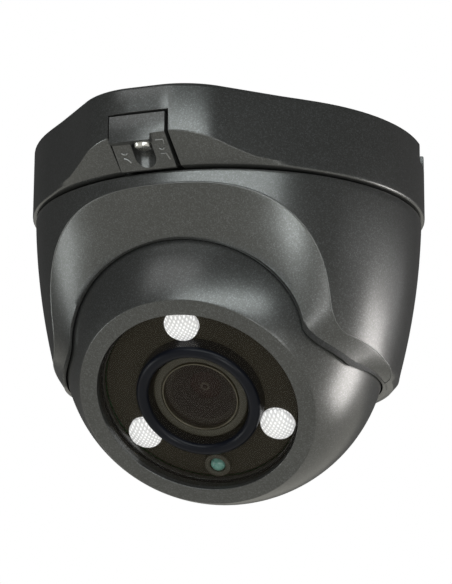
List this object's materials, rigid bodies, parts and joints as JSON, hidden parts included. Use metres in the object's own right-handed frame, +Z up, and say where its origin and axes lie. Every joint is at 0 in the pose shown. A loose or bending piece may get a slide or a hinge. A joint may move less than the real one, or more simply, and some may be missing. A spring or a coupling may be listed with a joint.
{
  "type": "turret dome camera",
  "caption": "Ceiling turret camera: lobed base with a screw-down lock latch, panning bell cover with a brow, and a tilting eyeball that holds lens, lamps and boards.",
  "frame": {"origin": "centre of the ceiling screw circle on the pan axis, in the plane of the base that meets the ceiling", "axes": "+Z up into the ceiling along the pan axis, -Y towards the latch and the side the eye looks to at rest, +X to the right of someone facing the camera"},
  "size_m": [0.13, 0.1422, 0.117],
  "materials": {
    "body_paint": "die cast, painted satin gunmetal grey with a fine metallic fleck",
    "black_rubber": "matte",
    "white_nylon": "matte moulded",
    "bright_steel": "bright zinc plated",
    "zinc_steel": "pressed sheet, zinc plated",
    "black_zinc_alloy": "black satin die casting",
    "black_plastic": "fine textured",
    "tinted_window": "polished, slightly brown tinted",
    "circuit_board": "solder mask",
    "lamp_chip": "ceramic and phosphor",
    "lamp_optic": "clear moulding with a cross-hatched face",
    "sensor_dome": "clear epoxy",
    "coated_glass": "anti-reflection coated",
    "filter_glass": "dichroic",
    "sensor_chip": "glass-lidded package",
    "brass": "machined"
  },
  "bodies": {
    "base": {"base_housing": "body_paint", "ceiling_gasket": "black_rubber", "cable_grommet": "black_rubber", "pan_washer": "white_nylon"},
    "latch": {"lock_latch": "body_paint"},
    "screw": {"lock_screw": "bright_steel"},
    "cover": {"cover_shell": "body_paint", "pan_ring": "zinc_steel", "pan_ring_screws": "bright_steel", "ball_clamp_ring": "black_zinc_alloy", "clamp_screws": "bright_steel", "guide_strap": "zinc_steel", "strap_screws": "bright_steel"},
    "stop_ring": {"rotation_stop_ring": "black_plastic"},
    "eyeball": {"front_housing": "body_paint", "rear_housing": "body_paint", "housing_oring": "black_rubber", "housing_screws": "bright_steel", "neck_circlip": "bright_steel", "cable_gland": "black_rubber", "lamp_window": "tinted_window", "lens_window": "tinted_window", "window_gasket": "black_rubber", "light_shield": "black_rubber", "inner_bezel": "black_plastic", "lamp_board": "circuit_board", "lamp_board_screws": "bright_steel", "lamp_emitters": "lamp_chip", "lamp_holders": "black_plastic", "lamp_lenses": "lamp_optic", "light_sensor": "sensor_dome", "sensor_sleeve": "black_plastic", "lens_body": "black_plastic", "front_element": "coated_glass", "rear_elements": "coated_glass", "iris_ring": "black_plastic", "camera_bracket": "zinc_steel", "bracket_screws": "bright_steel", "lens_mount": "black_plastic", "ir_filter_frame": "black_plastic", "image_sensor": "sensor_chip", "sensor_board": "circuit_board", "board_standoffs": "brass", "board_screws": "bright_steel", "main_board": "circuit_board", "main_processor": "black_plastic", "board_connectors": "white_nylon"},
    "focus": {"focus_ring": "black_plastic", "focus_lock_screw": "bright_steel"},
    "zoom": {"zoom_ring": "black_plastic", "zoom_lock_screw": "bright_steel"},
    "filter": {"ir_filter": "filter_glass"}
  },
  "joints": [
    {"name": "latch_slide", "type": "slide", "parent": "base", "child": "latch", "axis": [0, 0, -1], "range_m": [0, 0.0015]},
    {"name": "screw_turn", "type": "hinge", "parent": "latch", "child": "screw", "pos_m": [-0.0021, -0.0716, -0.0176], "axis": [0, 0, -1], "range_deg": [0, 1080]},
    {"name": "pan", "type": "hinge", "parent": "base", "child": "cover", "pos_m": [0, 0, 0], "axis": [0, 0, 1], "range_deg": [-177.5, 177.5]},
    {"name": "tilt", "type": "hinge", "parent": "cover", "child": "stop_ring", "pos_m": [0, -0.0027, -0.064], "axis": [1, 0, 0], "range_deg": [-30, 45]},
    {"name": "roll", "type": "hinge", "parent": "stop_ring", "child": "eyeball", "pos_m": [0, -0.0027, -0.064], "axis": [0, -0.7071, -0.7071], "range_deg": [-177.5, 177.5]},
    {"name": "focus_turn", "type": "hinge", "parent": "eyeball", "child": "focus", "pos_m": [0, -0.0027, -0.064], "axis": [0, -0.7071, -0.7071], "range_deg": [-60, 60]},
    {"name": "zoom_turn", "type": "hinge", "parent": "eyeball", "child": "zoom", "pos_m": [0, -0.0027, -0.064], "axis": [0, -0.7071, -0.7071], "range_deg": [-45, 45]},
    {"name": "filter_slide", "type": "slide", "parent": "eyeball", "child": "filter", "axis": [1, 0, 0], "range_m": [0, 0.007]}
  ],
  "couplings": [
    {"joint": "screw_turn", "follows": "latch_slide", "rad_per_m": 12566}
  ]
}
